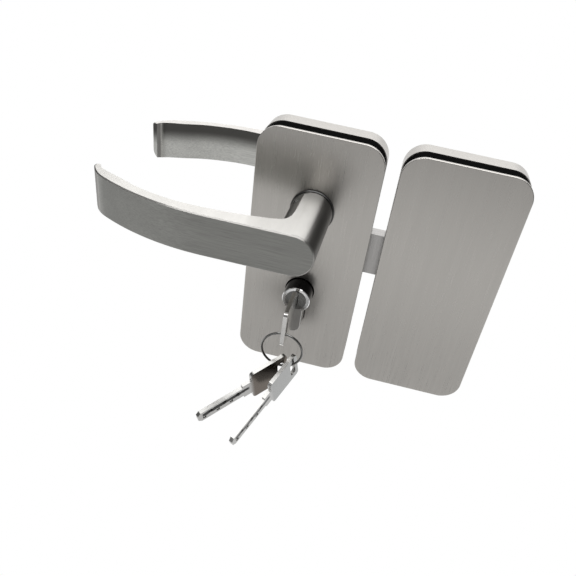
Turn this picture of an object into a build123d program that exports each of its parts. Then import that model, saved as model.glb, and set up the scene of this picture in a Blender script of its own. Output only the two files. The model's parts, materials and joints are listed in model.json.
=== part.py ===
from build123d import *
import math
import os

# Lever lock for a frameless glass door, with its strike, as a bench model. Millimetres.
# X runs to the right along the door, Y into the door, Z up.
# The origin is the middle of the lock's glass clamp, where its two rubber pads meet.

# Plates, cases and pads
plate_width = 71.5
plate_height = 160.0
corner_radius = 13.0
plate_gap = 8.3
cover_thickness = 1.7
cover_edge_radius = 0.4
pad_thickness = 4.4
pad_inset = 0.6
case_depth = 12.5
case_wall = 2.0
case_floor = 2.2
case_edge_radius = 1.5

# Screws that clamp the glass
post_inset_x = 11.75
post_inset_z = 12.0
post_diameter = 8.0
screw_diameter = 4.0
screw_head_diameter = 7.0
screw_grip = 9.0
post_clearance = 0.2

# Handles
handle_axis_z = 35.3
hub_diameter = 24.0
hub_gap = 0.3
collar_diameter = 25.8
collar_height = 1.5
collar_bevel = 0.4
collar_spigot_diameter = 18.0
neck_diameter = 14.0
lever_length = 117.0
lever_height = 23.8
lever_projection = 53.0
lever_middle_radius = 125.0
lever_middle_angle = 28.7
lever_tip_radius = 24.0
lever_tip_angle = 69.0
lever_tip_thickness = 3.2
lever_web_reach = 5.0
lever_web_foot = 5.0
lever_web_top = 24.0
# Handle's back: share of the length from the axis, and depth behind the front face
lever_back = (
    (0.87, 7.4),
    (0.76, 6.8),
    (0.67, 6.7),
    (0.54, 6.9),
    (0.40, 7.9),
    (0.27, 9.2),
    (0.20, 10.6),
    (0.10, 13.1),
)
lever_tip_top_radius = 1.5
lever_tip_bottom_radius = 6.0
lever_edge_bevel = 0.6
set_screw_diameter = 5.0
set_screw_angle = 135.0
set_screw_offset = 7.0
set_screw_length = 6.0
spindle_size = 7.9
spindle_clearance = 0.05
spindle_socket = 22.0

# Latch mechanism
mechanism_plate_thickness = 1.2
sliding_clearance = 0.3
running_clearance = 0.05
bolt_thickness = 8.0
bolt_height = 27.6
bolt_center_z = 9.0
bolt_into_strike = 5.5
bolt_body_length = 39.5
tail_thickness = 2.0
tail_strip_width = 7.0
tail_right_x = 31.0
tail_rise = 27.4
tail_root = 4.0
tail_arm_height = 14.5
tail_left_x = 2.0
follower_diameter = 18.0
follower_journal_diameter = 16.0
follower_arm_radius = 20.0
follower_arm_width = 8.4
follower_pin_diameter = 5.0
lever_travel = 40.0
spring_wire = 0.9
spring_diameter = 7.0
spring_turns = 8
spring_end_space = 0.1
spring_rod_diameter = 4.0
spring_rod_space = 9.0
spring_lug_width = 4.0
spring_lug_height = 12.0
boss_diameter = 7.0
boss_screw_diameter = 3.0
boss_screw_head = 5.2
boss_screw_head_height = 0.6
boss_inset_x = 9.75
boss_inset_z = 28.0

# Cylinder
cylinder_axis_z = -21.0
cylinder_diameter = 17.4
cylinder_lobe_width = 10.0
cylinder_total_height = 33.0
cylinder_protrusion = 11.3
cylinder_hole_clearance = 0.6
cylinder_bevel = 0.4
plug_diameter = 13.0
plug_proud = 0.4
cam_thickness = 6.0
cam_ring_diameter = 14.4
cam_bore_diameter = 9.4
cam_nose_radius = 13.5
cam_nose_width = 7.0
cam_space = 0.3
cylinder_screw_diameter = 5.0
cylinder_screw_drop = 19.0

# Keys and ring
key_thickness = 2.3
blade_width = 8.0
blade_length = 30.0
blade_margin = 4.0
bow_width = 24.0
bow_length = 25.0
bow_corner = 2.5
bow_neck_length = 6.0
bow_neck_width = 11.5
slot_width = 4.4
slot_length = 14.0
slot_edge = 2.4
keyway_clearance = 0.3
dimple_diameter = 2.4
dimple_depth = 0.5
dimple_count = 6
ring_radius = 12.2
ring_wire = 1.4
ring_rest = 0.5
spare_a_place = 0.0
spare_a_heading = 42.0
spare_a_dip = 14.0
spare_a_roll = -7.0
spare_b_place = -34.0
spare_b_heading = 24.0
spare_b_dip = 23.0
spare_b_roll = -5.0
spare_slide = 4.0

# Strike
strike_slot_clearance = 1.2
keep_thickness = 1.2
keep_depth = 12.0

# Places worked out from the sizes above
cover_back = -pad_thickness
cover_front = cover_back - cover_thickness
case_front = pad_thickness
case_back = case_front + case_depth
floor_front = case_back - case_floor
boss_x = plate_width / 2 - boss_inset_x
boss_z = plate_height / 2 - boss_inset_z
boss_places = ((-boss_x, boss_z), (-boss_x, -boss_z), (boss_x, -boss_z))
middle_y = (cover_front + case_back) / 2
mechanism_front = case_front + mechanism_plate_thickness
bolt_front = mechanism_front + sliding_clearance
bolt_back = bolt_front + bolt_thickness
strike_x = plate_width + plate_gap
bolt_tip = plate_width / 2 + plate_gap + bolt_into_strike
bolt_low = bolt_center_z - bolt_height / 2
bolt_high = bolt_center_z + bolt_height / 2
half_travel = math.radians(lever_travel / 2)
tail_top_z = handle_axis_z + tail_rise
spring_lug_x = -plate_width / 2 + case_wall + spring_lug_width
latch_travel = 2 * follower_arm_radius * math.sin(half_travel)
pin_x = follower_arm_radius * math.sin(half_travel)
pin_z = handle_axis_z + follower_arm_radius * math.cos(half_travel)
cylinder_front = cover_front - cylinder_protrusion
cylinder_rear = case_back + cylinder_protrusion
cam_front = bolt_front + cam_space
cam_back = cam_front + cam_thickness
lobe_low = cylinder_axis_z + cylinder_diameter / 2 - cylinder_total_height
plug_front = cylinder_front - plug_proud
plug_rear = cylinder_rear + plug_proud


def y_span(shape, start, end):
    """Extrude a sketch drawn in X and Z from y = start to y = end."""
    return extrude(Plane.XZ.offset(-start) * shape, -(end - start))


def y_rod(x, z, diameter, start, end):
    """A round rod or hole along Y."""
    return y_span(Pos(x, z) * Circle(diameter / 2), start, end)


def y_block(x0, x1, z0, z1, start, end):
    """A block between the given limits."""
    middle = Pos((x0 + x1) / 2, (z0 + z1) / 2)
    return y_span(middle * Rectangle(x1 - x0, z1 - z0), start, end)


def y_square(size, start, end):
    """A square bar or hole on the handles' axis, one flat of it facing the set screws."""
    place = Pos(0, handle_axis_z) * Rot(0, 0, set_screw_angle)
    return y_span(place * Rectangle(size, size), start, end)


def plate_outline(inset=0.0):
    """The rounded rectangle that every cover, pad and case shares."""
    width = plate_width - 2 * inset
    height = plate_height - 2 * inset
    return RectangleRounded(width, height, corner_radius - inset)


def cylinder_profile(extra=0.0):
    """The keyhole-shaped section of a profile cylinder, with an all-round allowance."""
    radius = cylinder_lobe_width / 2 + extra
    barrel = Pos(0, cylinder_axis_z) * Circle(cylinder_diameter / 2 + extra)
    low = lobe_low + cylinder_lobe_width / 2
    web = Pos(0, (low + cylinder_axis_z) / 2) * Rectangle(2 * radius, cylinder_axis_z - low)
    return barrel + web + Pos(0, low) * Circle(radius)


def post_places():
    """The four clamping posts of a plate."""
    half_x = plate_width / 2 - post_inset_x
    half_z = plate_height / 2 - post_inset_z
    return [(x, z) for x in (-half_x, half_x) for z in (-half_z, half_z)]


def outer_edges(shape, y):
    """The edges of the largest wire in the plane at y."""
    face = [f for f in shape.faces().filter_by(Axis.Y) if abs(f.center().Y - y) < 1e-4][0]
    return face.outer_wire().edges()


def cover(openings):
    """A front cover with its front edge eased."""
    plate = y_span(plate_outline(), cover_front, cover_back)
    plate = fillet(outer_edges(plate, cover_front), cover_edge_radius)
    for opening in openings:
        plate -= opening
    return plate


def pad(start, end, openings):
    """A rubber pad that grips the glass, a little smaller than the plate."""
    sheet = y_span(plate_outline(pad_inset), start, end)
    for x, z in post_places():
        sheet -= y_rod(x, z, post_diameter + 2 * post_clearance, start, end)
    for opening in openings:
        sheet -= opening
    return sheet


def case(openings):
    """A rear case: a deep tray, open towards the glass."""
    shell = y_span(plate_outline(), case_front, case_back)
    shell = fillet(outer_edges(shell, case_back), case_edge_radius)
    shell -= y_span(plate_outline(case_wall), case_front, floor_front)
    for x, z in post_places():
        shell -= screw_shape(x, z, 0.1)
    for opening in openings:
        shell -= opening
    return shell


def screw_shape(x, z, extra=0.0):
    """A countersunk clamping screw, put in from behind."""
    head_depth = case_floor - 0.1
    shank = y_rod(x, z, screw_diameter + 2 * extra, floor_front - screw_grip, case_back - 0.05)
    cone = Cone(
        screw_diameter / 2 + extra,
        screw_head_diameter / 2 + extra,
        head_depth,
        align=(Align.CENTER, Align.CENTER, Align.MIN),
    )
    return shank + Pos(x, case_back - head_depth, z) * Rot(-90, 0, 0) * cone


def clamping_posts():
    """Four hollow posts that pass through the glass from the cover to the case."""
    posts = []
    for x, z in post_places():
        post = y_rod(x, z, post_diameter, cover_back, floor_front)
        bore = y_rod(x, z, screw_diameter + 0.2, floor_front - screw_grip - 1.0, floor_front)
        posts.append(post - bore)
    return Compound(children=posts)


def clamping_screws():
    """Four countersunk screws, one in each post, with a hexagon socket."""
    screws = []
    for x, z in post_places():
        socket = y_span(Pos(x, z) * RegularPolygon(1.25, 6), case_back - 1.2, case_back)
        screws.append(screw_shape(x, z) - socket)
    return Compound(children=screws)


def key():
    """A flat key: blade along +X from the shoulder, bow along -X, thickness along Z."""
    bow_middle = -bow_neck_length - bow_length / 2
    bow = Pos(bow_middle, 0) * RectangleRounded(bow_length, bow_width, bow_corner)
    neck_span = bow_neck_length + bow_corner
    neck = Pos(-neck_span / 2, 0) * Rectangle(neck_span, bow_neck_width)
    blade = Pos(blade_length / 2, 0) * Rectangle(blade_length, blade_width)
    flat = bow + neck + blade
    slot_x = -bow_neck_length - bow_length + slot_edge + slot_width / 2
    flat -= Pos(slot_x, 0) * Rot(0, 0, 90) * SlotOverall(slot_length, slot_width)
    body = extrude(flat, key_thickness / 2, both=True)
    tip = body.edges().filter_by(Axis.Z).sort_by(Axis.X)[-2:]
    body = chamfer(tip, blade_width / 4)
    pitch = (blade_length - 2 * blade_margin) / (dimple_count - 1)
    for index in range(dimple_count):
        across = (1 if index % 2 else -1) * blade_width / 5
        for side in (-1, 1):
            place = Pos(blade_margin + pitch * index, side * across, side * key_thickness / 2)
            body -= place * Cylinder(dimple_diameter / 2, 2 * dimple_depth)
    return body


def slot_offset():
    """Distance from the shoulder back to the middle of the bow's slot."""
    return bow_neck_length + bow_length - slot_edge - slot_width / 2


# Clamp plates of the lock
collar_hole_front = y_rod(0, handle_axis_z, collar_spigot_diameter + 0.1, cover_front, cover_back)
collar_hole_rear = y_rod(0, handle_axis_z, collar_spigot_diameter + 0.1, floor_front, case_back)
cylinder_hole = y_span(cylinder_profile(cylinder_hole_clearance), cover_front, case_back)
spindle_hole = y_rod(0, handle_axis_z, follower_diameter + 2.0, cover_back, case_front)

lock_front_cover = cover([collar_hole_front, cylinder_hole])
lock_front_pad = pad(cover_back, 0.0, [spindle_hole, cylinder_hole])
lock_rear_pad = pad(0.0, case_front, [spindle_hole, cylinder_hole])

bolt_slot = y_block(
    plate_width / 2 - case_wall - 1.0,
    plate_width / 2 + 1.0,
    bolt_low - sliding_clearance,
    bolt_high + sliding_clearance,
    bolt_front - sliding_clearance,
    bolt_back + sliding_clearance,
)
screw_z = cylinder_axis_z - cylinder_screw_drop
screw_y = (cam_front + cam_back) / 2


def x_rod(y, z, diameter, start, end):
    """A round rod or hole along X."""
    rod = Cylinder(diameter / 2, end - start, align=(Align.CENTER, Align.CENTER, Align.MIN))
    return Pos(start, y, z) * Rot(0, 90, 0) * rod


case_side = plate_width / 2
cylinder_screw_hole = x_rod(screw_y, screw_z, cylinder_screw_diameter + 0.4, case_side - 3.0, case_side + 1.0)
lock_rear_case = case([collar_hole_rear, cylinder_hole, bolt_slot, cylinder_screw_hole])
for x, z in boss_places:
    boss = y_rod(x, z, boss_diameter, mechanism_front, floor_front + 0.2)
    boss_bore = y_rod(x, z, boss_screw_diameter + 0.1, mechanism_front, floor_front - 1.0)
    lock_rear_case = lock_rear_case + boss - boss_bore
spring_lug = y_block(
    spring_lug_x - spring_lug_width,
    spring_lug_x,
    bolt_center_z - spring_lug_height / 2,
    bolt_center_z + spring_lug_height / 2,
    bolt_front,
    floor_front,
)
lock_rear_case += spring_lug

# Mechanism plate that closes the lock case
mechanism_plate = y_span(plate_outline(case_wall + 0.15), case_front, mechanism_front)
for x, z in post_places():
    mechanism_plate -= y_rod(x, z, post_diameter + 2 * post_clearance, case_front, mechanism_front)
mechanism_plate -= y_rod(
    0, handle_axis_z, follower_journal_diameter + 2 * running_clearance, case_front, mechanism_front
)
mechanism_plate -= cylinder_hole
for x, z in boss_places:
    mechanism_plate -= y_rod(x, z, boss_screw_diameter + 0.2, case_front, mechanism_front)
    mechanism_plate -= y_rod(x, z, boss_screw_head + 0.2, case_front, case_front + boss_screw_head_height)


def mechanism_screw(x, z):
    """A small screw that holds the mechanism plate to a boss of the case."""
    head = y_rod(x, z, boss_screw_head, case_front, case_front + boss_screw_head_height)
    shank = y_rod(x, z, boss_screw_diameter, case_front, floor_front - 2.0)
    drive = y_block(x - 1.8, x + 1.8, z - 0.35, z + 0.35, case_front, case_front + 0.4)
    return head + shank - drive


mechanism_screws = Compound(children=[mechanism_screw(x, z) for x, z in boss_places])

# Bolt with its tail, which the follower's pin draws back
bolt_rear_x = bolt_tip - bolt_body_length
bolt = y_block(bolt_rear_x, bolt_tip, bolt_low, bolt_high, bolt_front, bolt_back)
tail_back = bolt_front + tail_thickness
tail_strip = y_block(
    tail_right_x - tail_strip_width, tail_right_x, bolt_high - tail_root, tail_top_z, bolt_front, tail_back
)
tail_arm = y_block(
    tail_left_x, tail_right_x, tail_top_z - tail_arm_height, tail_top_z, bolt_front, tail_back
)
pin_lift = follower_arm_radius * (1 - math.cos(half_travel))
pin_slot_length = follower_pin_diameter + 2 * sliding_clearance + 2 * pin_lift + 1.0
pin_slot_middle = pin_z + pin_lift / 2
pin_slot = Pos(pin_x, pin_slot_middle) * Rot(0, 0, 90) * SlotOverall(
    pin_slot_length, follower_pin_diameter + 2 * sliding_clearance
)
latch_bolt = bolt + tail_strip + tail_arm - y_span(pin_slot, bolt_front, tail_back)

# Follower on the spindle, with its pin
follower_back = bolt_back
arm_front = tail_back + sliding_clearance
follower = y_rod(0, handle_axis_z, follower_diameter, bolt_front, follower_back)
follower += y_rod(0, handle_axis_z, follower_journal_diameter, case_front + 0.1, bolt_front)
arm_sketch = Rectangle(follower_arm_width, follower_arm_radius)
arm_sketch = Pos(0, follower_arm_radius / 2) * arm_sketch
arm_sketch += Pos(0, follower_arm_radius) * Circle(follower_arm_width / 2)
arm_place = Pos(0, handle_axis_z) * Rot(0, 0, -lever_travel / 2)
follower += y_span(arm_place * arm_sketch, arm_front, follower_back)
square_hole = spindle_size + 2 * spindle_clearance
follower -= y_square(square_hole, case_front, follower_back)
follower -= y_rod(pin_x, pin_z, follower_pin_diameter + 0.02, arm_front, follower_back)
follower_pin = y_rod(pin_x, pin_z, follower_pin_diameter, bolt_front + 0.1, follower_back)

# Latch spring on its guide rod, between the lug of the case and the bolt
spring_y = (bolt_front + bolt_back) / 2
spring_rod_end = bolt_rear_x - latch_travel - spring_rod_space
spring_guide = x_rod(spring_y, bolt_center_z, spring_rod_diameter, spring_lug_x, spring_rod_end)
spring_length = bolt_rear_x - spring_lug_x - spring_wire - 2 * spring_end_space
spring_path = Helix(
    pitch=spring_length / spring_turns,
    height=spring_length,
    radius=(spring_diameter - spring_wire) / 2,
)
spring_section = Plane(origin=spring_path @ 0, z_dir=spring_path % 0) * Rectangle(spring_wire, spring_wire)
latch_spring = sweep(spring_section, path=spring_path)
spring_start = spring_lug_x + spring_wire / 2 + spring_end_space
latch_spring = Pos(spring_start, spring_y, bolt_center_z) * Rot(0, 90, 0) * latch_spring

# Handles: the front one is drawn, the rear one mirrors it about the middle of the lock
hub_start = cover_front - collar_height - hub_gap
face_y = cover_front - lever_projection
half_height = lever_height / 2
middle_angle = math.radians(lever_middle_angle)
tip_angle = math.radians(lever_tip_angle)
lever_middle_run = lever_middle_radius * math.sin(middle_angle)
lever_middle_drop = lever_middle_radius * (1 - math.cos(middle_angle))
lever_tip_run = lever_tip_radius * (math.sin(tip_angle) - math.sin(middle_angle))
lever_straight = lever_length - lever_middle_run - lever_tip_run


def front_face(distance):
    """How far the handle's front face stands off the cover, at a distance from the axis."""
    if distance <= lever_straight:
        return lever_projection
    if distance <= lever_straight + lever_middle_run:
        run = distance - lever_straight
        return lever_projection - lever_middle_radius + math.sqrt(lever_middle_radius**2 - run**2)
    run = distance - lever_straight - lever_middle_run + lever_tip_radius * math.sin(middle_angle)
    drop = lever_tip_radius * math.cos(middle_angle) - math.sqrt(lever_tip_radius**2 - run**2)
    return lever_projection - lever_middle_drop - drop


def lever_plan():
    """The handle seen from above: X along the door, Y outwards from the cover's face."""
    bend_start = (-lever_straight, lever_projection)
    bend_middle = lever_straight + lever_middle_run / 2
    tip_start = lever_straight + lever_middle_run
    tip_middle = tip_start + lever_tip_run / 2
    bend_end = (-tip_start, front_face(tip_start))
    tip_end = (-lever_length, front_face(lever_length))
    tip_inner = (
        tip_end[0] + lever_tip_thickness * math.sin(tip_angle),
        tip_end[1] - lever_tip_thickness * math.cos(tip_angle),
    )
    back = [(-share * lever_length, front_face(share * lever_length) - depth) for share, depth in lever_back]
    side = hub_diameter / 2
    edges = [
        Line((side, lever_web_foot), (side, lever_projection)),
        Line((side, lever_projection), bend_start),
        ThreePointArc(bend_start, (-bend_middle, front_face(bend_middle)), bend_end),
        ThreePointArc(bend_end, (-tip_middle, front_face(tip_middle)), tip_end),
        Line(tip_end, tip_inner),
        Spline(
            tip_inner,
            *back,
            (-lever_web_reach, lever_web_top),
            tangents=((math.cos(tip_angle), math.sin(tip_angle)), (0, -1)),
        ),
        Line((-lever_web_reach, lever_web_top), (-lever_web_reach, lever_web_foot)),
        Line((-lever_web_reach, lever_web_foot), (side, lever_web_foot)),
    ]
    return make_face(edges)


def lever_bar():
    """The handle seen from the front: a bar with a round hub end."""
    bar = Pos(-lever_length / 2, 0) * Rectangle(lever_length, lever_height)
    return bar + Circle(half_height)


def lever_front():
    """The same bar with its tip's corners rounded."""
    bar = Pos(-lever_length / 2, 0) * Rectangle(lever_length, lever_height)
    low_corner = bar.vertices().sort_by(Axis.X)[:2].sort_by(Axis.Y)[0]
    bar = fillet(low_corner, lever_tip_bottom_radius)
    high_corner = bar.vertices().group_by(Axis.Y)[-1].sort_by(Axis.X)[0]
    bar = fillet(high_corner, lever_tip_top_radius)
    return bar + Circle(half_height)


def rim_edges(lever):
    """The edges round the handle's front face, apart from the tip's own."""
    front_faces = [f for f in lever.faces() if f.normal_at(f.center()).Y < -0.3]
    front_faces = [f for f in front_faces if f.center().Y < cover_front - lever_projection / 3]
    edges = [edge for face in front_faces for edge in face.edges()]
    places = [(edge.center() - other.center()).length < 1e-5 for edge in edges for other in edges]
    count = len(edges)
    single = [edge for i, edge in enumerate(edges) if sum(places[i * count : (i + 1) * count]) == 1]
    return [edge for edge in single if edge.center().X > -lever_length + lever_edge_bevel]


def make_front_lever():
    """The front handle with its hub, its neck and the socket for the spindle."""
    plan = Plane.XY.offset(handle_axis_z - half_height) * Pos(0, cover_front) * Rot(180, 0, 0) * lever_plan()
    blade = extrude(plan, lever_height, dir=(0, 0, 1))
    bar = y_span(Pos(0, handle_axis_z) * lever_bar(), face_y - 1.0, hub_start)
    front = y_span(Pos(0, handle_axis_z) * lever_front(), face_y - 1.0, hub_start)
    lever = blade & bar
    lever = chamfer(rim_edges(lever), lever_edge_bevel) & front
    lever += y_rod(0, handle_axis_z, hub_diameter, face_y + 1.0, hub_start)
    lever += y_rod(0, handle_axis_z, neck_diameter, hub_start, cover_back)
    lever -= y_square(square_hole, hub_start - spindle_socket, cover_back)
    lever -= set_screw_rod(set_screw_diameter + 0.1, spindle_size / 2, hub_diameter / 2 + 1.0)
    return lever


def set_screw_rod(diameter, start, end):
    """A rod along the set screw's line, between two distances from the handle's axis."""
    rod = Cylinder(diameter / 2, end - start, align=(Align.CENTER, Align.CENTER, Align.MIN))
    turn = Rot(0, 90 - set_screw_angle, 0)
    return Pos(0, hub_start - set_screw_offset, handle_axis_z) * turn * Pos(0, 0, start) * rod


def to_rear(shape):
    """The same piece on the rear side, mirrored about the middle of the lock."""
    return mirror(shape, Plane.XZ.offset(-middle_y))


def as_one(shape):
    """The single solid of a shape."""
    return shape.solids()[0] if len(shape.solids()) == 1 else shape


front_lever = make_front_lever()
rear_lever = to_rear(front_lever)
set_screw = set_screw_rod(set_screw_diameter, spindle_size / 2 + 0.1, spindle_size / 2 + set_screw_length)
lever_set_screws = Compound(children=[as_one(set_screw), as_one(to_rear(set_screw))])


def make_front_collar():
    """The ring at the foot of the handle, with a spigot in the cover."""
    ring = y_rod(0, handle_axis_z, collar_diameter, cover_front - collar_height, cover_front)
    ring = chamfer(outer_edges(ring, cover_front - collar_height), collar_bevel)
    spigot = y_rod(0, handle_axis_z, collar_spigot_diameter, cover_front, cover_back)
    bore = neck_diameter + 2 * running_clearance
    return ring + spigot - y_rod(0, handle_axis_z, bore, cover_front - collar_height, cover_back)


front_collar = make_front_collar()
rear_collar = to_rear(front_collar)

spindle_start = hub_start - spindle_socket + 0.3
spindle = y_square(spindle_size, spindle_start, 2 * middle_y - spindle_start)

# Profile cylinder
bridge_high = cylinder_axis_z - cam_nose_radius - sliding_clearance
cylinder_body = y_span(cylinder_profile(), cylinder_front, cylinder_rear)
cylinder_body = chamfer(outer_edges(cylinder_body, cylinder_front), cylinder_bevel)
cylinder_body = chamfer(outer_edges(cylinder_body, cylinder_rear), cylinder_bevel)
cylinder_body -= y_block(
    -cylinder_diameter,
    cylinder_diameter,
    bridge_high,
    cylinder_axis_z + cylinder_diameter,
    cam_front - cam_space,
    cam_back + cam_space,
)
plug_bore = plug_diameter + 2 * running_clearance
cylinder_body -= y_rod(0, cylinder_axis_z, plug_bore, cylinder_front, cylinder_rear)
cylinder_body -= x_rod(
    screw_y, screw_z, cylinder_screw_diameter + 0.1, -cylinder_lobe_width, cylinder_lobe_width
)
keyway_height = blade_width + 2 * keyway_clearance
keyway_width = key_thickness + 2 * keyway_clearance
keyway = Pos(0, cylinder_axis_z) * Rectangle(keyway_width, keyway_height)
front_plug = y_rod(0, cylinder_axis_z, plug_diameter, plug_front, cam_front - 0.1)
front_plug -= y_span(keyway, plug_front, cam_front)
blade_tip = plug_front + blade_length
rear_recess_end = blade_tip + 1.0
rear_plug = y_rod(0, cylinder_axis_z, plug_diameter, cam_back + 0.1, plug_rear)
rear_plug -= y_rod(0, cylinder_axis_z, cam_bore_diameter, cam_back, rear_recess_end)
rear_plug -= y_span(keyway, rear_recess_end + 1.0, plug_rear)
cam_ring = Pos(0, cylinder_axis_z) * Circle(cam_ring_diameter / 2)
nose_length = cam_nose_radius - cam_nose_width / 2
cam_nose = Pos(-nose_length / 2, cylinder_axis_z) * Rectangle(nose_length, cam_nose_width)
cam_nose += Pos(-nose_length, cylinder_axis_z) * Circle(cam_nose_width / 2)
cam_bore = Pos(0, cylinder_axis_z) * Circle(cam_bore_diameter / 2)
cylinder_cam = y_span(cam_ring + cam_nose - cam_bore, cam_front, cam_back)
cylinder_screw = x_rod(screw_y, screw_z, cylinder_screw_diameter, -cylinder_lobe_width / 2, case_side - 0.2)

# Inserted key: its blade in the front plug, its bow upright
key_body = key()
in_lock = Plane(origin=(0, plug_front, cylinder_axis_z), x_dir=(0, 1, 0), z_dir=(1, 0, 0))
lock_key = in_lock * key_body

# Split ring through the slot of the inserted key
slot_y = plug_front - slot_offset()
ring_top_z = cylinder_axis_z - slot_length / 2 + ring_wire / 2 + ring_rest
ring_center_z = ring_top_z - ring_radius
key_ring = Pos(0, slot_y, ring_center_z) * Rot(90, 0, 0) * Torus(ring_radius, ring_wire / 2)


def hanging_key(ring_angle, heading, dip, roll, slide):
    """A spare key on the ring: its place, where its blade points and its shift in the slot."""
    angle = math.radians(ring_angle)
    turn = math.radians(heading)
    down = math.radians(dip)
    level = Vector(-math.sin(turn), -math.cos(turn), 0)
    pointing = level * math.cos(down) + Vector(0, 0, -math.sin(down))
    side = level.cross(Vector(0, 0, 1))
    upright = side.cross(pointing)
    across = upright * math.cos(math.radians(roll)) + side * math.sin(math.radians(roll))
    place = Vector(0, slot_y, ring_center_z) + Vector(-math.sin(angle), 0, -math.cos(angle)) * ring_radius
    start = place + pointing * slot_offset() - across * slide
    return Plane(origin=start, x_dir=pointing, z_dir=pointing.cross(across)) * key_body


spare_key_a = hanging_key(spare_a_place, spare_a_heading, spare_a_dip, spare_a_roll, spare_slide)
spare_key_b = hanging_key(spare_b_place, spare_b_heading, spare_b_dip, spare_b_roll, spare_slide)

# Strike, to the right of the lock
strike_move = Pos(strike_x, 0, 0)
strike_slot = y_block(
    -plate_width / 2 - 1.0,
    -plate_width / 2 + case_wall + 1.0,
    bolt_low - strike_slot_clearance,
    bolt_high + strike_slot_clearance,
    bolt_front - sliding_clearance,
    bolt_back + sliding_clearance,
)
strike_front_cover = strike_move * cover([])
strike_front_pad = strike_move * pad(cover_back, 0.0, [])
strike_rear_pad = strike_move * pad(0.0, case_front, [])
strike_rear_case = strike_move * case([strike_slot])
keep_left = strike_x - plate_width / 2 + case_wall
keep_low = bolt_low - strike_slot_clearance
keep_high = bolt_high + strike_slot_clearance
strike_keep = y_block(
    keep_left,
    keep_left + keep_depth,
    keep_low - keep_thickness,
    keep_high + keep_thickness,
    mechanism_front,
    floor_front,
)
strike_keep -= y_block(
    keep_left, keep_left + keep_depth - keep_thickness, keep_low, keep_high, mechanism_front, floor_front
)

parts = {
    "lock_front_cover": lock_front_cover,
    "lock_front_pad": lock_front_pad,
    "lock_rear_pad": lock_rear_pad,
    "lock_rear_case": lock_rear_case,
    "lock_posts": clamping_posts(),
    "lock_screws": clamping_screws(),
    "mechanism_plate": mechanism_plate,
    "mechanism_screws": mechanism_screws,
    "latch_bolt": latch_bolt,
    "latch_spring": latch_spring,
    "spring_guide": spring_guide,
    "follower": follower,
    "follower_pin": follower_pin,
    "spindle": spindle,
    "front_lever": front_lever,
    "rear_lever": rear_lever,
    "lever_set_screws": lever_set_screws,
    "front_collar": front_collar,
    "rear_collar": rear_collar,
    "cylinder_body": cylinder_body,
    "front_plug": front_plug,
    "rear_plug": rear_plug,
    "cylinder_cam": cylinder_cam,
    "cylinder_screw": cylinder_screw,
    "lock_key": lock_key,
    "key_ring": key_ring,
    "spare_key_a": spare_key_a,
    "spare_key_b": spare_key_b,
    "strike_front_cover": strike_front_cover,
    "strike_front_pad": strike_front_pad,
    "strike_rear_pad": strike_rear_pad,
    "strike_rear_case": strike_rear_case,
    "strike_posts": strike_move * clamping_posts(),
    "strike_screws": strike_move * clamping_screws(),
    "strike_keep": strike_keep,
}

os.makedirs("parts", exist_ok=True)
for name, shape in parts.items():
    export_step(shape, f"parts/{name}.step")
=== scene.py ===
import json
from math import cos, radians, sin

import bpy
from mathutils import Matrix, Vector

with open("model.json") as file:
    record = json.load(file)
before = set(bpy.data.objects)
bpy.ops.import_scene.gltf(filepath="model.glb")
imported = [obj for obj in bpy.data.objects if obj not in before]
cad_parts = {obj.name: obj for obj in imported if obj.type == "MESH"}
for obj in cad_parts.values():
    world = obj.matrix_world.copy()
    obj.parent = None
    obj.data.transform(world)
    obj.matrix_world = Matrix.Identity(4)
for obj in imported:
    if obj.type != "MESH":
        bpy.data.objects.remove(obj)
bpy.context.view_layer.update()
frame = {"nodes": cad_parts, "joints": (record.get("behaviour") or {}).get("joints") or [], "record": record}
nodes = frame["nodes"]
joints = {joint["name"]: joint for joint in frame["joints"]}


# Directions and joint axes, with all lengths in metres

RIGHT = Vector((1.0, 0.0, 0.0))
BACK = Vector((0.0, 1.0, 0.0))
FRONT = -BACK
UP = Vector((0.0, 0.0, 1.0))
LEVER_AXIS = Vector(joints["lever_turn"]["pos_m"])
CYLINDER_AXIS = Vector(joints["key_turn"]["pos_m"])


# Node trees

def empty_tree(owner):
    """The node tree of a material or world, without the nodes that it comes with."""
    owner.use_nodes = True
    owner.node_tree.nodes.clear()
    return owner.node_tree


def set_input(tree, socket, value):
    """Links an input to another node's output, or gives it a plain value."""
    if isinstance(value, bpy.types.NodeSocket):
        tree.links.new(value, socket)
    elif socket.type == "RGBA":
        socket.default_value = (*value, 1.0)
    else:
        socket.default_value = value


def set_inputs(tree, node, values):
    """Sets several inputs of a node, each by its name or number."""
    for key, value in values.items():
        set_input(tree, node.inputs[key], value)


def add_node(tree, kind, inputs=None, **settings):
    """A new shader node, with its settings and inputs."""
    node = tree.nodes.new("ShaderNode" + kind)
    for setting, value in settings.items():
        setattr(node, setting, value)
    set_inputs(tree, node, inputs or {})
    return node


def calculate(tree, operation, first, second=0.0):
    """The result of a sum with one or two values."""
    return add_node(tree, "Math", {0: first, 1: second}, operation=operation).outputs["Value"]


def multiply(tree, first, second):
    """The product of two values."""
    return calculate(tree, "MULTIPLY", first, second)


def tint(tree, colour, factor):
    """A colour times a value."""
    inputs = {0: colour, "Scale": factor}
    return add_node(tree, "VectorMath", inputs, operation="SCALE").outputs["Vector"]


def spread(tree, value, low, high, start=0.3, end=0.7):
    """Maps a range, by default the one where most noise lies, onto the range from low to high."""
    inputs = {"Value": value, "From Min": start, "From Max": end, "To Min": low, "To Max": high}
    return add_node(tree, "MapRange", inputs).outputs["Result"]


def vary(tree, field, middle, swing):
    """A value that noise moves up and down by a swing."""
    return spread(tree, field, middle - swing, middle + swing)


def blend(tree, first, second, factor):
    """The first value where a factor is 0, and the second where it is 1."""
    return spread(tree, factor, first, second, 0.0, 1.0)


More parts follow.
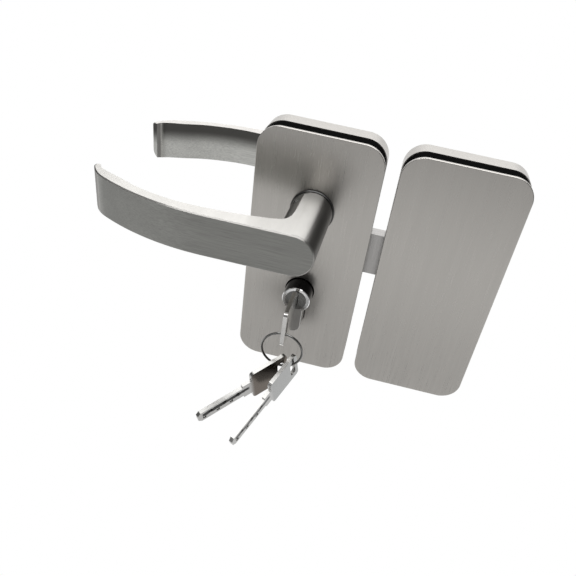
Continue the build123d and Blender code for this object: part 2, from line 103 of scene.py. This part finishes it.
def ramp(tree, value, start, end):
    """A smooth step from 0 at start to 1 at end."""
    inputs = {"Value": value, "From Min": start, "From Max": end}
    return add_node(tree, "MapRange", inputs, interpolation_type="SMOOTHSTEP").outputs["Result"]


def named_socket(sockets, identifier):
    """The socket with an identifier, where several share one name."""
    return next(socket for socket in sockets if socket.identifier == identifier)


def mix(tree, kind, data_type, first, second, factor):
    """The second colour or vector over the first, by a factor."""
    node = add_node(tree, "Mix", data_type=data_type)
    set_input(tree, named_socket(node.inputs, "Factor_Float"), factor)
    set_input(tree, named_socket(node.inputs, "A_" + kind), first)
    set_input(tree, named_socket(node.inputs, "B_" + kind), second)
    return named_socket(node.outputs, "Result_" + kind)


def mix_colours(tree, first, second, factor):
    """The second colour over the first, by a factor."""
    return mix(tree, "Color", "RGBA", first, second, factor)


def mix_vectors(tree, first, second, factor):
    """The second vector over the first, by a factor."""
    return mix(tree, "Vector", "VECTOR", first, second, factor)


def mix_shaders(tree, first, second, factor):
    """The second shader over the first, by a factor."""
    return add_node(tree, "MixShader", {"Fac": factor, 1: first, 2: second}).outputs["Shader"]


def coordinates(tree, output):
    """A piece's own position (Object) or normal (Normal), or the world's direction (Generated)."""
    return add_node(tree, "TexCoord").outputs[output]


def along(tree, output, direction):
    """How far one of the coordinates reaches along a direction."""
    inputs = {0: coordinates(tree, output), 1: direction}
    return add_node(tree, "VectorMath", inputs, operation="DOT_PRODUCT").outputs["Value"]


def beyond(tree, point, direction):
    """How far a place on a piece lies beyond a point, along a direction."""
    return calculate(tree, "SUBTRACT", along(tree, "Object", direction), point.dot(direction))


def facing(tree, direction):
    """The square of the normal's share along a direction: 1 on faces square to it."""
    share = along(tree, "Normal", direction)
    return multiply(tree, share, share)


def noise(tree, scale, detail=4.0, roughness=0.6):
    """A noise field between 0 and 1, with its own scale along each axis."""
    place = add_node(tree, "Mapping", {"Vector": coordinates(tree, "Object"), "Scale": scale})
    inputs = {
        "Vector": place.outputs["Vector"],
        "Scale": 1.0,
        "Detail": detail,
        "Roughness": roughness,
    }
    return add_node(tree, "TexNoise", inputs).outputs["Fac"]


# What the materials share

WHITE = (1.0, 1.0, 1.0)
RELIEF_DEPTH = 0.0002


def new_material(name, metallic=1.0):
    """A new node material, its tree and its Principled shader."""
    material = bpy.data.materials.new(name)
    tree = empty_tree(material)
    shader = add_node(tree, "BsdfPrincipled", {"Metallic": metallic})
    add_node(tree, "OutputMaterial", {"Surface": shader.outputs["BSDF"]})
    return material, tree, shader


def relief(tree, height, strength):
    """The normal of a surface with relief from a value."""
    inputs = {"Height": height, "Strength": strength, "Distance": RELIEF_DEPTH}
    return add_node(tree, "Bump", inputs).outputs["Normal"]


def scaled(values, factor):
    """A colour or a grain, with each number times a factor."""
    return tuple(value * factor for value in values)


# Brushed steel, with grain as noise per metre along each axis, low along the scratches

VERTICAL = (2200.0, 2200.0, 45.0)
LENGTHWISE = (50.0, 2200.0, 2200.0)
STREAK_WIDTH = 14
STREAK_SHARE = 0.25
SCRATCH_ROUGHNESS = 0.05


def scratched(tree, colour, grain, contrast):
    """Fine scratches as a noise field, and a colour marked by them and by broad streaks."""
    fine = noise(tree, grain, detail=3.0, roughness=0.7)
    broad = noise(tree, scaled(grain, 1.0 / STREAK_WIDTH), detail=2.0)
    scratches = vary(tree, fine, 1.0, contrast)
    streaks = vary(tree, broad, 1.0, contrast * STREAK_SHARE)
    return fine, tint(tree, colour, multiply(tree, scratches, streaks))


def brushed(name, colour, grain, roughness, contrast=0.09, depth=0.12):
    """Steel with fine scratches all one way."""
    material, tree, shader = new_material(name)
    fine, marked = scratched(tree, colour, grain, contrast)
    looks = {
        "Base Color": marked,
        "Roughness": vary(tree, fine, roughness, SCRATCH_ROUGHNESS),
        "Normal": relief(tree, fine, depth),
    }
    set_inputs(tree, shader, looks)
    return material


# Handles: faces brushed lengthwise and painted darker as shade, a worn hub and edges, and a stretched
# highlight on all

FACE_CONTRAST = 0.2
FACE_DEPTH = 0.15
FACE_ROUGHNESS = 0.43
FACE_STRETCH = 0.85
SIDE_ROUGHNESS = 0.38
SIDE_STRETCH = 0.965
SIDE_WEAR = 0.04
SIDE_PATCHES = (180.0, 60.0, 180.0)

# How square to the door a surface is where it begins to count as a face
FRONT_FACE_FROM = 0.52
REAR_FACE_FROM = 0.36
FACE_BORDER = 0.08

# Surfaces that look left or right, and each hub's base where it meets the plate, take a share of the side's
# colour as painted shade
PAINTED_FLANK_SHADE_RANGE = (0.15, 0.7)
PAINTED_FLANK_SHADE_SHARE = 0.5
PAINTED_FOOT_SHADE_RANGE = (0.031, 0.015)
PAINTED_FOOT_SHADE_SHARE = 0.6
BETWEEN_FEET = Vector((0.0, 0.005, 0.0))

# The rear handle's face colour is brightened as painted light, with painted shade on the upper part of its
# inner face; outside it is scaled down to be darker all over
INNER = (0.6, 0.8)
INNER_PAINTED_SHADE_HEIGHTS = (-0.0033, 0.0077)
INNER_PAINTED_SHADE_COLOUR = (0.1, 0.098, 0.092)
OUTER = (0.2, -0.2)
OUTER_SHARE = (0.52, 0.52, 0.51)


def side_colour(tree, side):
    """The colour of a handle's sides, its hub and edges, with the shares above as painted shade."""
    worn = tint(tree, side, vary(tree, noise(tree, SIDE_PATCHES, detail=2.0), 1.0, SIDE_WEAR))
    # Painted shade on surfaces that look left or right, and at the hub's base
    flank_shade = ramp(tree, facing(tree, RIGHT), *PAINTED_FLANK_SHADE_RANGE)
    with_flank_shade = mix_colours(tree, worn, scaled(side, PAINTED_FLANK_SHADE_SHARE), flank_shade)
    distance = calculate(tree, "ABSOLUTE", beyond(tree, BETWEEN_FEET, BACK))
    foot_shade = ramp(tree, distance, *PAINTED_FOOT_SHADE_RANGE)
    return mix_colours(tree, with_flank_shade, scaled(side, PAINTED_FOOT_SHADE_SHARE), foot_shade)


def rear_painted_shading(tree, colour):
    """The colour of the rear handle's faces, with painted shade on the upper part of the face towards the
    door, from their colour without shades.
    """
    inward = along(tree, "Normal", FRONT)
    upper = ramp(tree, beyond(tree, LEVER_AXIS, UP), *INNER_PAINTED_SHADE_HEIGHTS)
    inner_painted_shade = multiply(tree, upper, ramp(tree, inward, *INNER))
    with_painted_shade = mix_colours(tree, colour, INNER_PAINTED_SHADE_COLOUR, inner_painted_shade)
    outer = mix_vectors(tree, WHITE, OUTER_SHARE, ramp(tree, inward, *OUTER))
    inputs = {0: with_painted_shade, 1: outer}
    return add_node(tree, "VectorMath", inputs, operation="MULTIPLY").outputs["Vector"]


def handle_tangent(tree, face):
    """The tangent of the highlight: upright on faces, and from front to back on the sides."""
    turned = add_node(
        tree,
        "VectorTransform",
        {"Vector": mix_vectors(tree, BACK, UP, face)},
        vector_type="VECTOR",
        convert_from="OBJECT",
        convert_to="WORLD",
    )
    return turned.outputs["Vector"]


def handle_steel(name, colour, side, face_from, shades=None):
    """Steel for a handle: one colour for its faces, painted darker as shade, which shades can change with
    painted light and shade, and one for sides.
    """
    material, tree, shader = new_material(name)
    fine, marked = scratched(tree, colour, LENGTHWISE, FACE_CONTRAST)
    if shades:
        marked = shades(tree, marked)
    face = ramp(tree, facing(tree, BACK), face_from, face_from + FACE_BORDER)
    face_roughness = vary(tree, fine, FACE_ROUGHNESS, SCRATCH_ROUGHNESS)
    # The faces' darker colour against the top, hub and edges is painted shade on one steel
    looks = {
        "Base Color": mix_colours(tree, side_colour(tree, side), marked, face),
        "Roughness": blend(tree, SIDE_ROUGHNESS, face_roughness, face),
        "Anisotropic": blend(tree, SIDE_STRETCH, FACE_STRETCH, face),
        "Tangent": handle_tangent(tree, face),
        "Normal": relief(tree, fine, FACE_DEPTH),
    }
    set_inputs(tree, shader, looks)
    return material


# Plated metal

PATCHES = (260.0, 260.0, 260.0)
SHINE_SWING = 0.3


def polished(name, colour, roughness, wear=0.05):
    """Plated metal with a little wear in its shine."""
    material, tree, shader = new_material(name)
    patches = noise(tree, PATCHES)
    looks = {
        "Base Color": tint(tree, colour, vary(tree, patches, 1.0, wear)),
        "Roughness": vary(tree, patches, roughness, roughness * SHINE_SWING),
    }
    set_inputs(tree, shader, looks)
    return material


# Cylinder: a barrel painted black as a dark reflection, with a bright front rim, over a plain lobe

RIM_WEAR = 0.05
RIM_TO_WALL = (0.35, 0.1)
LOBE_TO_BARREL = (-0.0075, -0.005)
LOBE_ROUGHNESS = 0.42
BARREL_ROUGHNESS = 0.14


def cylinder_metal(name, rim, painted_dark_wall, lobe):
    """Plated metal for the cylinder, with a colour for each of its parts; the barrel's black sides are a
    painted reflection.
    """
    material, tree, shader = new_material(name)
    bright = tint(tree, rim, vary(tree, noise(tree, PATCHES), 1.0, RIM_WEAR))
    barrel = ramp(tree, beyond(tree, CYLINDER_AXIS, UP), *LOBE_TO_BARREL)
    sides = ramp(tree, along(tree, "Normal", FRONT), *RIM_TO_WALL)
    plain = mix_colours(tree, bright, lobe, ramp(tree, barrel, 1.0, 0.0))
    # The barrel's sides are painted near black: a painted dark reflection
    looks = {
        "Base Color": mix_colours(tree, plain, painted_dark_wall, multiply(tree, sides, barrel)),
        "Roughness": blend(tree, LOBE_ROUGHNESS, BARREL_ROUGHNESS, barrel),
    }
    set_inputs(tree, shader, looks)
    return material


# Spare keys: each hangs at its joint by a slot, whose middle lies a slide away from the joint

SLOT_TO_SHOULDER = 0.0264
SLOT_SLIDE = 0.004
KEY_A_TURNS = (42.0, 14.0, -7.0)
KEY_B_TURNS = (24.0, 23.0, -5.0)

# From the shoulder towards the tip, and then across the blade
BOW = (-0.004, -0.008)
GROOVE_START = (-0.005, -0.003)
GROOVE_END = (0.0275, 0.0265)
GROOVE_BOTTOM = (-0.0006, -0.0004)
GROOVE_TOP = (0.0026, 0.0024)
GROOVE_WAVER = 0.0004
WAVER_GRAIN = (420.0, 420.0, 420.0)

FLAT_SIDES = (0.7, 0.85)
KEY_COLOUR = (0.4, 0.396, 0.385)
KEY_WEAR = 0.03
KEY_ROUGHNESS = 0.21
KEY_SHINE_SWING = 0.02
# The groove is drawn as near-black painted shade
GROOVE_PAINTED_SHADE = (0.015, 0.015, 0.014)


def key_directions(heading, dip, roll):
    """Where a key points and the direction across its blade, from its turns in degrees."""
    heading, dip, roll = (radians(turn) for turn in (heading, dip, roll))
    level = Vector((-sin(heading), -cos(heading), 0.0))
    pointing = level * cos(dip) - UP * sin(dip)
    side = level.cross(UP)
    across = side.cross(pointing) * cos(roll) + side * sin(roll)
    return pointing, across


def key_metal(name, joint, turns, bow_painted_reflection):
    """Nickel for a spare key, with a painted dark reflection on its bow and painted shade in the milled
    groove along the blade.
    """
    pointing, across = key_directions(*turns)
    slot = Vector(joints[joint]["pos_m"]) - across * SLOT_SLIDE
    shoulder = slot + pointing * SLOT_TO_SHOULDER
    material, tree, shader = new_material(name)
    patches = noise(tree, PATCHES)
    waver = vary(tree, noise(tree, WAVER_GRAIN, detail=1.0), 0.0, GROOVE_WAVER)
    height = calculate(tree, "ADD", beyond(tree, shoulder, across), waver)
    length = beyond(tree, shoulder, pointing)
    flat = ramp(tree, facing(tree, pointing.cross(across)), *FLAT_SIDES)
    bow = multiply(tree, flat, ramp(tree, length, *BOW))
    groove = flat
    for place, border in (
        (length, GROOVE_START),
        (length, GROOVE_END),
        (height, GROOVE_BOTTOM),
        (height, GROOVE_TOP),
    ):
        groove = multiply(tree, groove, ramp(tree, place, *border))
    plain = tint(tree, KEY_COLOUR, vary(tree, patches, 1.0, KEY_WEAR))
    # Painted dark reflection on the flat sides of the bow
    with_bow_reflection = mix_colours(tree, plain, bow_painted_reflection, bow)
    # Painted shade along the groove
    looks = {
        "Base Color": mix_colours(tree, with_bow_reflection, GROOVE_PAINTED_SHADE, groove),
        "Roughness": vary(tree, patches, KEY_ROUGHNESS, KEY_SHINE_SWING),
    }
    set_inputs(tree, shader, looks)
    return material


# Rubber

RUBBER_GRAIN = (900.0, 900.0, 900.0)
RUBBER_SHADES = (0.8, 1.3)
RUBBER_DEPTH = 0.2


def rubber(name, colour, roughness):
    """Matt rubber with a fine grain."""
    material, tree, shader = new_material(name, metallic=0.0)
    grain = noise(tree, RUBBER_GRAIN)
    looks = {
        "Base Color": tint(tree, colour, spread(tree, grain, *RUBBER_SHADES)),
        "Roughness": roughness,
        "Specular IOR Level": 0.0,
        "Normal": relief(tree, grain, RUBBER_DEPTH),
    }
    set_inputs(tree, shader, looks)
    return material


# The record's material slots, and the nodes that differ from their slot

# The collars are painted near black as shade in the gap at the hub's base
COLLAR_PAINTED_SHADE = (0.09, 0.09, 0.088)
COLLAR_ROUGHNESS = 0.35

SLOTS = {
    "brushed_plate": brushed(
        "brushed_plate", (0.5, 0.482, 0.455), VERTICAL, roughness=0.31, contrast=0.06, depth=0.06
    ),
    # The face colour is darker than the side colour: painted shade
    "brushed_handle": handle_steel(
        "brushed_handle", (0.35, 0.35, 0.332), (0.495, 0.485, 0.465), FRONT_FACE_FROM
    ),
    "pad_rubber": rubber("pad_rubber", (0.004, 0.004, 0.004), roughness=0.75),
    # The barrel's near-black colour is a painted dark reflection
    "cylinder_chrome": cylinder_metal(
        "cylinder_chrome", rim=(0.8, 0.8, 0.8), painted_dark_wall=(0.02, 0.02, 0.02), lobe=(0.42, 0.414, 0.4)
    ),
    "plug_nickel": polished("plug_nickel", (0.2, 0.2, 0.195), roughness=0.3),
    "key_nickel": polished("key_nickel", (0.78, 0.77, 0.75), roughness=0.2, wear=0.03),
    "ring_nickel": polished("ring_nickel", (0.22, 0.22, 0.215), roughness=0.2),
    "bolt_steel": brushed("bolt_steel", (0.42, 0.41, 0.4), VERTICAL, roughness=0.3),
    "turned_steel": polished("turned_steel", (0.45, 0.45, 0.46), roughness=0.3),
    "spring_steel": polished("spring_steel", (0.35, 0.35, 0.36), roughness=0.3),
    "zinc_sheet": polished("zinc_sheet", (0.55, 0.55, 0.53), roughness=0.4),
}
OWN = {
    # The rear handle's brighter face colour is painted light, kept towards the door and scaled down outside
    "rear_lever": handle_steel(
        "brushed_handle_rear_painted", (0.68, 0.68, 0.65), (0.51, 0.497, 0.478), REAR_FACE_FROM, rear_painted_shading
    ),
    # Each key's bow colour is a painted dark reflection
    "spare_key_a": key_metal("key_nickel_a", "spare_a_swing", KEY_A_TURNS, (0.12, 0.1, 0.083)),
    "spare_key_b": key_metal("key_nickel_b", "spare_b_swing", KEY_B_TURNS, (0.29, 0.294, 0.29)),
    "front_collar": polished("collar_dark", COLLAR_PAINTED_SHADE, COLLAR_ROUGHNESS),
    "rear_collar": polished("collar_dark_rear", COLLAR_PAINTED_SHADE, COLLAR_ROUGHNESS),
}
for row in frame["record"]["subparts"]:
    mesh = nodes[row["node"]].data
    mesh.materials.clear()
    mesh.materials.append(OWN.get(row["node"], SLOTS[row["material_slot"]]))


# Floor and backdrop

STAGE_GREY = (0.8, 0.8, 0.8)
STAGE_ROUGHNESS = 0.9
STAGE_HALF_WIDTH = 3.0
FLOOR_Z = -0.25
FLOOR_FRONT = -0.15
BACKDROP_Y = 2.5
BACKDROP_TOP = 3.0
WHITE_RAYS = ("Is Camera Ray", "Is Glossy Ray", "Is Transmission Ray")


def white_stage(name):
    """A pale surface that is white to the camera and to mirrored and transmitted rays."""
    material = bpy.data.materials.new(name)
    tree = empty_tree(material)
    pale = add_node(tree, "BsdfPrincipled", {"Base Color": STAGE_GREY, "Roughness": STAGE_ROUGHNESS})
    white = add_node(tree, "Emission", {"Color": WHITE, "Strength": 1.0})
    path = add_node(tree, "LightPath")
    seen = 0.0
    for ray in WHITE_RAYS:
        seen = calculate(tree, "MAXIMUM", seen, path.outputs[ray])
    both = mix_shaders(tree, pale.outputs["BSDF"], white.outputs["Emission"], seen)
    add_node(tree, "OutputMaterial", {"Surface": both})
    return material


def stage_sheet(name, material, near, far):
    """A flat sheet across the stage, between two edges that are given as y and z."""
    left = -STAGE_HALF_WIDTH
    right = STAGE_HALF_WIDTH
    corners = [(left, *near), (right, *near), (right, *far), (left, *far)]
    mesh = bpy.data.meshes.new(name)
    mesh.from_pydata(corners, [], [(0, 1, 2, 3)])
    mesh.materials.append(material)
    obj = bpy.data.objects.new(name, mesh)
    bpy.context.scene.collection.objects.link(obj)


stage_material = white_stage("stage_white")
stage_sheet("floor", stage_material, (FLOOR_FRONT, FLOOR_Z), (BACKDROP_Y, FLOOR_Z))
stage_sheet("backdrop", stage_material, (BACKDROP_Y, FLOOR_Z), (BACKDROP_Y, BACKDROP_TOP))


# World: stops of height, from 0 straight down to 1 straight up, each with its grey

WORLD_GREYS = ((0.17, 0.4), (0.25, 1.16), (0.34, 0.47), (0.5, 0.14))


def world_colour(tree):
    """The grey of the world in each direction."""
    height = spread(tree, along(tree, "Generated", UP), 0.0, 1.0, start=-1.0, end=1.0)
    shades = add_node(tree, "ValToRGB", {"Fac": height})
    elements = shades.color_ramp.elements
    while len(elements) < len(WORLD_GREYS):
        elements.new(0.5)
    for element, (stop, grey) in zip(elements, WORLD_GREYS):
        element.position = stop
        element.color = (grey, grey, grey, 1.0)
    return shades.outputs["Color"]


def make_world(name):
    """A world of greys for metal to mirror, which is white to the camera."""
    world = bpy.data.worlds.new(name)
    bpy.context.scene.world = world
    tree = empty_tree(world)
    greys = add_node(tree, "Background", {"Color": world_colour(tree), "Strength": 1.0})
    white = add_node(tree, "Background", {"Color": WHITE, "Strength": 1.0})
    seen = add_node(tree, "LightPath").outputs["Is Camera Ray"]
    both = mix_shaders(tree, greys.outputs["Background"], white.outputs["Background"], seen)
    add_node(tree, "OutputWorld", {"Surface": both})


make_world("studio")


# Lamps

def softbox(name, place, size, power):
    """A rectangular soft lamp aimed at the frame's origin."""
    data = bpy.data.lights.new(name, "AREA")
    data.shape = "RECTANGLE"
    data.size = size[0]
    data.size_y = size[1]
    data.energy = power
    lamp = bpy.data.objects.new(name, data)
    bpy.context.scene.collection.objects.link(lamp)
    lamp.location = place
    lamp.rotation_euler = (-Vector(place)).to_track_quat("-Z", "Y").to_euler()


softbox("back_top", place=(-0.15, 1.1, 0.85), size=(1.6, 0.8), power=2.0)
softbox("overhead", place=(0.0, 0.1, 1.1), size=(1.6, 1.5), power=20.0)
softbox("front_left", place=(-1.0, -1.0, 0.5), size=(0.8, 0.8), power=1.3)
softbox("front_top", place=(-0.05, -0.8, 1.15), size=(1.4, 0.35), power=3.0)


# Camera at the photograph's viewpoint, with its turns in degrees

CAMERA_PLACE = (0.0385, -0.2971, 0.186)
CAMERA_TURNS = (54.9148, -8.8003, 10.5017)
SENSOR_WIDTH = 36.0
FOCAL_LENGTH = 35.683
SHIFT_RIGHT = -0.0663
SHIFT_UP = 0.0015
CLIP_START = 0.01

camera_data = bpy.data.cameras.new("camera")
camera_data.sensor_width = SENSOR_WIDTH
camera_data.lens = FOCAL_LENGTH
camera_data.shift_x = SHIFT_RIGHT
camera_data.shift_y = SHIFT_UP
camera_data.clip_start = CLIP_START
camera_data.dof.use_dof = False
camera = bpy.data.objects.new("camera", camera_data)
bpy.context.scene.collection.objects.link(camera)
camera.location = CAMERA_PLACE
camera.rotation_euler = [radians(turn) for turn in CAMERA_TURNS]
bpy.context.scene.camera = camera

bpy.context.scene.view_settings.view_transform = "Standard"
